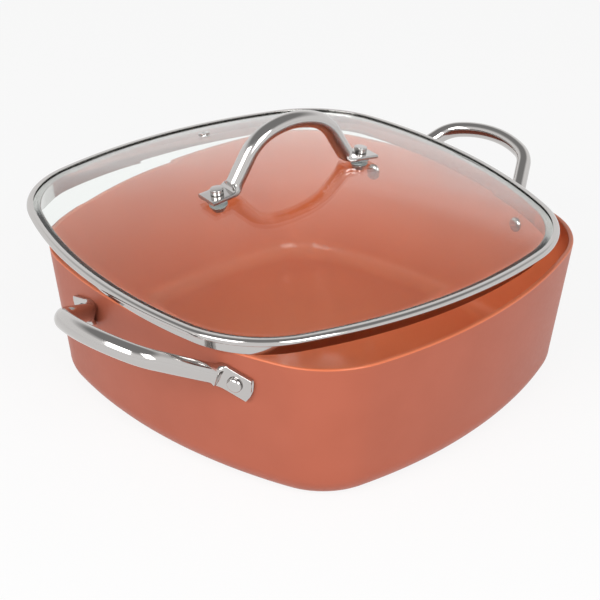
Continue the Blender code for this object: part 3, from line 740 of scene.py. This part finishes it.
class CASSEROLE_OT_pot_body(CasseroleOperator, bpy.types.Operator):
    """Build the coated pot"""

    bl_idname = "casserole.pot_body"
    bl_label = "Coated pot"

    def build(self, scene):
        """Rings of the bowed square outline, carried along the pot's wall profile.

        The profile is a list of insets from the outside and heights: the underside with the recess of
        the disc, the outer rounding, the drafted wall, the rim, the inner wall and the floor.
        """
        pot = scene.casserole_pot
        recess = pot.disc_radius + GAP
        quarter = np.linspace(0, np.pi / 2, ROUND_STEPS + 1)
        outer_round = np.stack([
            pot.base_round * (1 - np.sin(quarter)), pot.base_round * (1 - np.cos(quarter))], axis=1)
        rim_low = pot.height - pot.rim_round
        heights = np.linspace(pot.base_round, rim_low, WALL_RINGS + 2)[1:-1]
        outer_wall = np.stack([np.zeros(WALL_RINGS), heights], axis=1)
        rim = np.stack([
            pot.rim_round * (1 - np.cos(quarter)), rim_low + pot.rim_round * np.sin(quarter)], axis=1)
        inner_rim = np.stack([pot.wall - rim[::-1, 0], rim[::-1, 1]], axis=1)
        inner_radius = pot.base_round - pot.wall
        inner_wall = np.stack([np.full(WALL_RINGS, pot.wall), heights[::-1]], axis=1)
        inner_round = np.stack([
            pot.wall + inner_radius * (1 - np.cos(quarter)),
            pot.floor + inner_radius * (1 - np.sin(quarter))], axis=1)
        profile = np.concatenate([outer_round, outer_wall, rim, inner_rim, inner_wall, inner_round])
        half_width, side_radius, corner_radius = wall_sizes(pot, profile[:, 1])
        inset = profile[:, 0]
        x, y = rounded_square(half_width - inset, side_radius - inset, corner_radius - inset)
        wall = stack(x, y, profile[:, 1:])
        around = np.arctan2(y[0], x[0])
        depth = pot.disc_thickness + GAP
        rings = np.array([(recess * 0.5, depth), (recess, depth), (recess, 0)])
        under = stack(rings[:, :1] * np.cos(around), rings[:, :1] * np.sin(around), rings[:, 1:])
        floor_shares = np.array([0.97, 0.9, 0.7, 0.4])[:, None]
        floor = stack(x[-1] * floor_shares, y[-1] * floor_shares, pot.floor)
        grid = np.concatenate([under, wall, floor])
        colours = scene.casserole_colours
        satin = finish("sprayed_ceramic_satin", ceramic_outside, colours)
        made = dressed("coated_pot", grid, satin, "copper_coating", "pot", "pot_body")
        made.data.materials.append(finish("sprayed_ceramic_gloss", ceramic_inside, colours))
        columns = grid.shape[1]
        # The rim takes the inside's film: its gloss, and its lighter colours that are painted light
        inside_row = len(under) + len(outer_round) + len(outer_wall)
        rows = np.arange(len(made.data.polygons)) // columns
        inside = (rows >= inside_row) & (rows < len(grid) - 1)
        inside[-columns:] = True
        made.data.polygons.foreach_set("material_index", inside.astype(np.int32))


class CASSEROLE_OT_base_disc(CasseroleOperator, bpy.types.Operator):
    """Build the steel base disc"""

    bl_idname = "casserole.base_disc"
    bl_label = "Base disc"

    def build(self, scene):
        """A turned disc with a small rounding on its lower edge."""
        pot = scene.casserole_pot
        radius, top = pot.disc_radius, pot.disc_thickness
        inner = radius * 0.3
        corners = [(inner, 0), (radius, 0), (radius, top), (inner, top)]
        profile = rounded(corners, [DISC_ROUND, DISC_ROUND / 3])
        disc = turned(profile, steps=DISC_STEPS)
        faced = finish("lathe_faced_steel", machined_steel, scene.casserole_colours)
        dressed("base_disc", disc, faced, "base_steel", "pot", "base_plate")


class CASSEROLE_OT_side_handles(CasseroleOperator, bpy.types.Operator):
    """Build the two looped side handles"""

    bl_idname = "casserole.side_handles"
    bl_label = "Side handles"

    def build(self, scene):
        """A tube along a path of straight runs and arcs, flat on the wall at both ends."""
        pot = scene.casserole_pot
        handle = scene.casserole_handles
        on_wall = wall_frame(pot, handle.rivet_spread / 2, handle.rivet_height)
        turn = on_wall.to_3x3()
        slope = handle.tab_slope
        away = turn @ Vector((math.cos(slope), -math.sin(slope), 0))
        upward = turn @ Vector((math.sin(slope), math.cos(slope), 0))
        middle = on_wall @ Vector((0, 0, GAP + handle.tab_thickness / 2))
        end = middle + away * handle.tab_past_rivet
        knee = middle - away * handle.knee_from_rivet
        rise = Vector((math.cos(handle.loop_tilt), 0, math.sin(handle.loop_tilt)))
        foot = Vector((knee.x, handle.loop_skew, knee.z))
        crown = foot + rise * handle.crown_reach
        shoulder = foot + rise * handle.shoulder_reach + Vector((0, handle.shoulder_spread / 2, 0))
        other_shoulder = shoulder - Vector((0, handle.shoulder_spread, 0))
        other_knee, other_end = (Vector((p.x, -p.y, p.z)) for p in (knee, end))
        path = arched_path(
            [end, knee, shoulder, crown, other_shoulder, other_knee, other_end],
            handle.knee_radius, handle.shoulder_radius)
        loop_normal = Vector((-math.sin(handle.loop_tilt), 0, math.cos(handle.loop_tilt)))
        tab_axes = np.array([upward, (upward.x, -upward.y, upward.z)])
        grid = pressed_bar(
            path, handle.tab_flat_length, handle.flattening, tab_axes, loop_normal,
            (handle.tab_width, handle.tab_thickness), (handle.tube_width, handle.tube_depth),
            handle.tab_end_bow)
        for side in SIDES:
            loop = placed(grid, side_place(pot, handle, side))
            steel_piece(scene, "loop_handle_" + side, loop, "pot", "side_handle_" + side)


def arched_path(corners, knee_radius, shoulder_radius):
    """Rounded path through two ends, two knees, two shoulders and the crown between them.

    The crown's arc starts where the shoulder's arc ends, so no straight run is left between them.
    """
    runs = [after - before for before, after in zip(corners, corners[1:])]
    turns = [before.angle(after) for before, after in zip(runs, runs[1:])]
    taken = shoulder_radius * math.tan(max(turns[1], turns[3]) / 2)
    crown_radius = (runs[2].length - taken) / math.tan(turns[2] / 2) * CROWN_FIT
    radii = [knee_radius, shoulder_radius, crown_radius, shoulder_radius, knee_radius]
    return rounded(corners, radii, ARC_STEPS)


class CASSEROLE_OT_rivets(CasseroleOperator, bpy.types.Operator):
    """Build the four rivets of the side handles"""

    bl_idname = "casserole.rivets"
    bl_label = "Rivets"

    def build(self, scene):
        """Turned bodies: an inner head, a shank through wall and tab, and an outer head."""
        pot = scene.casserole_pot
        handle = scene.casserole_handles
        inner_seat = -pot.wall - GAP
        outer_seat = 2 * GAP + handle.tab_thickness
        inner = dome_head(handle.rivet_head_radius, handle.rivet_inner_head_height, inner_seat, -1)
        outer = dome_head(handle.rivet_head_radius, handle.rivet_head_height, outer_seat, 1)
        shank = [(handle.rivet_shank_radius, inner_seat), (handle.rivet_shank_radius, outer_seat)]
        grid = turned(np.concatenate([inner[::-1], shank, outer]))
        for side in SIDES:
            for end, across in (("front", -1), ("back", 1)):
                local = across if side == "right" else -across
                on_wall = wall_frame(pot, local * handle.rivet_spread / 2, handle.rivet_height)
                rivet = placed(grid, side_place(pot, handle, side) @ on_wall)
                end_name = "rivet_%s_%s" % (side, end)
                steel_piece(scene, "domed_" + end_name, rivet, "pot", end_name)


class CASSEROLE_OT_lid_glass(CasseroleOperator, bpy.types.Operator):
    """Build the domed glass"""

    bl_idname = "casserole.lid_glass"
    bl_label = "Lid glass"

    def build(self, scene):
        """Contours of the lid's outline, scaled down and lifted by the dome's height.

        Towards the middle the contours grow rounder, as blown glass does. The lower face is the upper
        one moved down by the glass's thickness, as far as the flat edge that the bead holds.
        """
        lid = scene.casserole_lid
        arch = scene.casserole_arch
        edge = glass_edge(lid)
        share = np.linspace(0.02, 1, GLASS_RINGS)
        square = between(GLASS_MIDDLE, 1, share)
        half_width = lid.bead_width / 2 - lid.dome_start
        side_radius = between(half_width, lid.side_radius - lid.dome_start, square)
        corner_radius = between(half_width, lid.corner_radius - lid.dome_start, square)
        x, y = rounded_square(half_width * share, side_radius * share, corner_radius * share)
        height = dome_height(lid, share)[:, None]
        upper = stack(x, y, height)
        lower = stack(x, y, np.maximum(height - lid.glass_thickness, -edge))
        rim_x, rim_y = lid_outline(lid, -lid.glass_edge_into_bead * np.array([0.6, 1, 1, 0.6]))
        rim_z = np.array([edge, edge * 0.8, -edge * 0.8, -edge])[:, None]
        grid = np.concatenate([upper, stack(rim_x, rim_y, rim_z), lower[::-1]])
        made = closed_surface("domed_glass", placed(grid, lid_matrix(lid)))
        reach = lid.glass_thickness * 2
        screw, vent = arch.screw_shank_radius + GAP, lid.vent_tube_radius + GAP
        places = [(screw, lid_matrix(lid) @ half_turn(side) @ screw_seat(lid, arch)) for side in SIDES]
        places.append((vent, vent_frame(lid)))
        bored(made, [
            closed_surface("hole", placed(turned([(radius, -reach), (radius, reach)]), place))
            for radius, place in places])
        glass = finish("tempered_glass", clear_glass, scene.casserole_colours)
        dress(made, glass, "clear_glass", "lid", "lid_glass")


class CASSEROLE_OT_lid_rim(CasseroleOperator, bpy.types.Operator):
    """Build the lid's steel rim and the seal inside its bead"""

    bl_idname = "casserole.lid_rim"
    bl_label = "Lid rim and seal"

    def build(self, scene):
        """One strip: lip, half round bead, flange and upright collar, carried round the outline."""
        lid = scene.casserole_lid
        thickness = lid.steel_thickness
        soft = thickness * STRIP_ROUND
        outer, inner = lid.bead_radius, lid.bead_radius - thickness
        roll = np.pi / 2 + np.pi * np.linspace(0, 1, 3 * ROUND_STEPS + 1)
        outer_roll = np.stack([outer * np.cos(roll), outer * np.sin(roll)], axis=1)
        inner_roll = np.stack([inner * np.cos(roll[::-1]), inner * np.sin(roll[::-1])], axis=1)
        collar_out, collar_in = lid.collar_inset, lid.collar_inset + thickness
        down = rounded(
            [outer_roll[-1], (collar_out, -outer), (collar_out, -lid.collar_drop),
             (collar_in, -lid.collar_drop), (collar_in, -inner), inner_roll[0]],
            [lid.collar_round, soft, soft, lid.collar_round - thickness])
        lip = rounded(
            [inner_roll[-1], (lid.bead_lip, inner), (lid.bead_lip, outer), outer_roll[0]],
            [soft, soft], steps=4)
        profile = np.concatenate([outer_roll[:-1], down[:-1], inner_roll[:-1], lip[:-1]])
        x, y = lid_outline(lid, profile[:, 0])
        grid = stack(x, y, profile[:, 1:])
        steel_piece(scene, "steel_rim", placed(grid, lid_matrix(lid)), "lid", "lid_rim", hoop=True)

        front = -lid.glass_edge_into_bead - GAP
        back = front - SEAL_DEPTH
        seal = rounded(
            [(front, 0), (front, SEAL_HALF_FRONT), (back, SEAL_HALF_BACK), (back, -SEAL_HALF_BACK),
             (front, -SEAL_HALF_FRONT), (front, 0)],
            [SEAL_ROUND] * 4, steps=3)[:-1]
        x, y = lid_outline(lid, seal[:, 0])
        strip = placed(stack(x, y, seal[:, 1:]), lid_matrix(lid))
        clear = finish("bonding_silicone", silicone, scene.casserole_colours.seal, 0.4)
        dressed("bonding_seal", strip, clear, "clear_silicone", "lid", "rim_seal", hoop=True)


class CASSEROLE_OT_lid_handle(CasseroleOperator, bpy.types.Operator):
    """Build the lid's arched handle"""

    bl_idname = "casserole.lid_handle"
    bl_label = "Lid handle"

    def build(self, scene):
        """An oval bar along an arch of arcs, whose flat feet follow the slope of the glass."""
        lid = scene.casserole_lid
        arch = scene.casserole_arch
        seat = screw_seat(lid, arch)
        middle = 2 * GAP + arch.upper_gasket_thickness + arch.foot_thickness / 2
        end = seat @ Vector((arch.foot_past_screw, 0, middle))
        bend = seat @ Vector((-arch.foot_bend_from_screw, 0, middle))
        shoulder = Vector((arch.shoulder_spread / 2, 0, bend.z + arch.shoulder_rise))
        crown = Vector((0, 0, bend.z + arch.crown_rise))
        mirrored = [Vector((-p.x, p.y, p.z)) for p in (shoulder, bend, end)]
        path = arched_path(
            [end, bend, shoulder, crown, *mirrored], arch.foot_bend_radius, arch.shoulder_radius)
        sideways = np.array((0.0, 1.0, 0.0))
        grid = pressed_bar(
            path, arch.foot_flat_length, arch.flattening,
            np.array([sideways, sideways]), sideways, (arch.foot_width, arch.foot_thickness),
            (arch.bar_width, arch.bar_depth), 0)
        steel_piece(scene, "arched_handle", placed(grid, lid_matrix(lid)), "lid", "lid_handle")


class CASSEROLE_OT_lid_fasteners(CasseroleOperator, bpy.types.Operator):
    """Build the screws, gaskets, washers and nuts of the lid handle"""

    bl_idname = "casserole.lid_fasteners"
    bl_label = "Lid fasteners"

    def build(self, scene):
        """Turned bodies along each screw, from the head over the foot to the nut under the glass."""
        lid = scene.casserole_lid
        arch = scene.casserole_arch
        rubber = finish("gasket_silicone", silicone, scene.casserole_colours.gasket, 0.5)
        seat = screw_seat(lid, arch)
        bore = arch.screw_shank_radius + GAP
        head_seat = 3 * GAP + arch.upper_gasket_thickness + arch.foot_thickness
        gasket_top = -lid.glass_thickness * seat.to_3x3().col[2].z - GAP
        gasket_low = gasket_top - arch.lower_gasket_thickness
        washer_top = gasket_low - GAP
        washer_low = washer_top - arch.washer_thickness
        nut_top = washer_low - GAP
        nut_low = nut_top - arch.nut_thickness
        shank, shank_low = arch.screw_shank_radius, nut_low - arch.screw_past_nut
        tip = [(shank - CHAMFER, shank_low), (shank, shank_low + CHAMFER)]
        head, head_top = arch.screw_head_radius, head_seat + arch.screw_head_height
        corners = [(shank, head_seat), (head, head_seat), (head, head_top), (0.1 * head, head_top)]
        head_profile = rounded(corners, [HEAD_SEAT_ROUND, HEAD_TOP_ROUND], steps=6)
        screw = turned(np.concatenate([tip, head_profile]))
        upper = smooth_washer(arch.upper_gasket_radius, bore, GAP, GAP + arch.upper_gasket_thickness)
        lower = smooth_washer(arch.lower_gasket_radius, bore, gasket_low, gasket_top)
        washer = smooth_washer(arch.washer_radius, bore, washer_low, washer_top)
        nut = hexagon_nut(arch.nut_across_flats, bore, nut_low, nut_top)
        gaskets = (
            ("gasket_over_glass_", upper, "upper_gasket_"),
            ("gasket_under_glass_", lower, "lower_gasket_"),
        )
        rings = (("flat_washer_", washer, "steel_washer_"), ("hexagon_nut_", nut, "lid_nut_"))
        for side in SIDES:
            place = lid_matrix(lid) @ half_turn(side) @ seat
            steel_piece(scene, "cap_screw_" + side, placed(screw, place), "lid", "lid_screw_" + side)
            for name, grid, node in gaskets:
                ring = placed(grid, place)
                dressed(name + side, ring, rubber, "clear_silicone", "lid", node + side, hoop=True)
            for name, grid, node in rings:
                steel_piece(scene, name + side, placed(grid, place), "lid", node + side, hoop=True)


def hexagon_nut(across_flats, bore, low, high):
    """Grid of a nut: a hexagon's radius is the flats' half width over the cosine of the angle from the
    nearest flat's middle, cut down at both ends by a cone as high as the chamfer."""
    turn = np.linspace(0, 2 * np.pi, TURN_STEPS, endpoint=False)
    from_flat = (turn + np.pi / 6) % (np.pi / 3) - np.pi / 6
    hexagon = across_flats / 2 / np.cos(from_flat)
    circle, hole = np.full_like(turn, across_flats / 2), np.full_like(turn, bore)
    radius = np.stack([hole, circle, hexagon, hexagon, circle, hole])
    height = np.array([low, low, low + CHAMFER, high - CHAMFER, high, high])[:, None]
    return stack(radius * np.cos(turn), radius * np.sin(turn), height)


class CASSEROLE_OT_vent(CasseroleOperator, bpy.types.Operator):
    """Build the vent's steel eyelet"""

    bl_idname = "casserole.vent"
    bl_label = "Vent eyelet"

    def build(self, scene):
        """A turned tube through the glass with a rounded flange on each face."""
        lid = scene.casserole_lid
        place = vent_frame(lid)
        normal = (lid_matrix(lid).inverted() @ place).to_3x3().col[2]
        under = -lid.glass_thickness * normal.z - GAP
        bore, tube, flange = lid.vent_bore_radius, lid.vent_tube_radius, lid.vent_flange_radius
        top = GAP + lid.vent_flange_thickness
        bottom = under - lid.vent_flange_thickness
        soft = lid.vent_flange_thickness * STRIP_ROUND
        middle = (top + bottom) / 2
        corners = [
            (bore, middle), (bore, bottom), (flange, bottom), (flange, under), (tube, under),
            (tube, GAP), (flange, GAP), (flange, top), (bore, top), (bore, middle)]
        neck = 0.1 * MM
        profile = rounded(corners, [soft, soft, soft, neck, neck, soft, soft, soft], steps=5)[:-1]
        eyelet = placed(turned(profile), place)
        steel_piece(scene, "vent_grommet", eyelet, "lid", "vent_eyelet", hoop=True)


class CASSEROLE_OT_stage(CasseroleOperator, bpy.types.Operator):
    """Build the floor, the light and the camera"""

    bl_idname = "casserole.stage"
    bl_label = "Stage"

    def build(self, scene):
        """A pale floor, softboxes and a white world, seen from the photograph's angle."""
        stage = scene.casserole_stage
        add_floor()
        add_world(scene, stage.fill)
        target = Vector((0, 0, 0.06))
        softbox("left_softbox", (-1.25, -0.11, 0.78), target, 0.8, 0.75, stage.left_power)
        softbox("right_softbox", (-0.39, -1.19, 0.78), target, 0.6, 0.75, stage.right_power)
        add_camera(scene, stage)
        scene.view_settings.view_transform = "Standard"


def add_floor():
    """A wide pale disc that shows the pot's shadow, and that camera and reflections see as white."""
    inner, outer, low = 0.5, 6, -2 * MM
    grid = turned([(inner, low), (outer, low), (outer, 0), (inner, 0)], steps=FLOOR_STEPS)
    floor = closed_surface("studio_floor", grid)
    floor.data.materials.append(finish("studio_paper", studio_paper))
    floor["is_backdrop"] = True


def studio_paper(tree):
    """White paper, shown mostly as plain white to the camera, to reflections and through glass."""
    rays = add(tree, "LightPath").outputs
    paper = add(tree, "BsdfDiffuse", {"Color": linear("f2f2f2")})
    white = add(tree, "Emission", {"Color": linear("ffffff"), "Strength": 1.0})
    mirrored = add(tree, "Math", {0: rays["Is Camera Ray"], 1: rays["Is Glossy Ray"]}, operation="MAXIMUM")
    seen = add(tree, "Math", {0: mirrored, 1: rays["Is Transmission Ray"]}, operation="MAXIMUM")
    share = add(tree, "Math", {0: seen, 1: FLOOR_WHITE_SHARE}, operation="MULTIPLY")
    return add(tree, "MixShader", {"Fac": share, 1: paper, 2: white})


def add_world(scene, fill):
    """White to the camera, a room that darkens upwards to reflections, and a fill from low all round."""
    world = bpy.data.worlds.new("studio")
    scene.world = world
    world.use_nodes = True
    tree = world.node_tree
    tree.nodes.clear()
    white = linear("ffffff")
    rays = add(tree, "LightPath").outputs
    direction = add(tree, "TexCoord").outputs["Generated"]
    height = add(tree, "SeparateXYZ", {"Vector": direction}).outputs["Z"]
    room = add(tree, "MapRange", {
        "Value": height, "From Min": 0.46, "From Max": 0.76, "To Min": 1.0, "To Max": 0.3})
    reflected = add(tree, "Background", {"Color": white, "Strength": room})
    backdrop = add(tree, "Background", {"Color": white, "Strength": 1.0})
    level = add(tree, "Math", {0: room, 1: fill}, operation="MULTIPLY")
    even = add(tree, "Background", {"Color": white, "Strength": level})
    lit = add(tree, "MixShader", {"Fac": rays["Is Glossy Ray"], 1: even, 2: reflected})
    direct = add(
        tree, "Math", {0: rays["Is Camera Ray"], 1: rays["Is Transmission Ray"]}, operation="MAXIMUM")
    # Rays that left a matt or glossy surface first and then met the glass see the room instead
    bounces = add(tree, "Math", {0: rays["Diffuse Depth"], 1: rays["Glossy Depth"]})
    straight = add(tree, "Math", {0: bounces, 1: 0.5}, operation="LESS_THAN")
    share = add(tree, "Math", {0: direct, 1: straight}, operation="MULTIPLY")
    shown = add(tree, "MixShader", {"Fac": share, 1: lit, 2: backdrop})
    add(tree, "OutputWorld", {"Surface": shown})


def softbox(name, place, target, width, height, power):
    """A rectangular area light that faces the target."""
    light = bpy.data.lights.new(name, "AREA")
    light.shape = "RECTANGLE"
    light.size = width
    light.size_y = height
    light.energy = power
    lamp = bpy.data.objects.new(name, light)
    bpy.context.scene.collection.objects.link(lamp)
    lamp.location = place
    lamp.rotation_euler = (target - Vector(place)).to_track_quat("-Z", "Y").to_euler()


def add_camera(scene, stage):
    """Camera whose back, right and up follow from azimuth, elevation and roll."""
    a, e = stage.azimuth, stage.elevation
    back = Vector((math.sin(a) * math.cos(e), -math.cos(a) * math.cos(e), math.sin(e)))
    right = Vector((0, 0, 1)).cross(back).normalized()
    up = back.cross(right)
    turned_right = right * math.cos(stage.roll) + up * math.sin(stage.roll)
    turned_up = up * math.cos(stage.roll) - right * math.sin(stage.roll)
    data = bpy.data.cameras.new("camera")
    data.sensor_fit = "HORIZONTAL"
    data.sensor_width = 36
    data.lens = stage.lens
    camera = bpy.data.objects.new("camera", data)
    scene.collection.objects.link(camera)
    turn = Matrix((turned_right, turned_up, back)).transposed().to_4x4()
    camera.matrix_world = Matrix.Translation(stage.camera_place) @ turn
    scene.camera = camera


OPERATORS = CasseroleOperator.__subclasses__()

GROUPS = {
    "casserole_pot": CasserolePotSizes,
    "casserole_handles": CasseroleHandleSizes,
    "casserole_lid": CasseroleLidSizes,
    "casserole_arch": CasseroleArchSizes,
    "casserole_colours": CasseroleColours,
    "casserole_stage": CasseroleStage,
}


class CASSEROLE_PT_panel(bpy.types.Panel):
    """Lists the building steps and the sizes they use"""

    bl_idname = "CASSEROLE_PT_panel"
    bl_label = "Casserole pot"
    bl_space_type = "VIEW_3D"
    bl_region_type = "UI"
    bl_category = "Casserole"

    def draw(self, context):
        for operator in OPERATORS:
            self.layout.operator(operator.bl_idname)
        for name, group in GROUPS.items():
            box = self.layout.box()
            box.label(text=group.__doc__)
            for field in group.__annotations__:
                box.prop(getattr(context.scene, name), field, text=field.replace("_", " ").capitalize())


def register():
    for group in GROUPS.values():
        bpy.utils.register_class(group)
    for name, group in GROUPS.items():
        setattr(bpy.types.Scene, name, PointerProperty(type=group))
    for operator in OPERATORS:
        bpy.utils.register_class(operator)
    bpy.utils.register_class(CASSEROLE_PT_panel)


def unregister():
    bpy.utils.unregister_class(CASSEROLE_PT_panel)
    for operator in reversed(OPERATORS):
        bpy.utils.unregister_class(operator)
    for name in GROUPS:
        delattr(bpy.types.Scene, name)
    for group in GROUPS.values():
        bpy.utils.unregister_class(group)


def main():
    register()
    for operator in OPERATORS:
        group, name = operator.bl_idname.split(".")
        getattr(getattr(bpy.ops, group), name)()
    boxes = {"cad": CAD_BOX, "visual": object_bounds()}
    rows = {name: [list(corner) for corner in box] for name, box in boxes.items()}


if __name__ == "__main__":
    main()
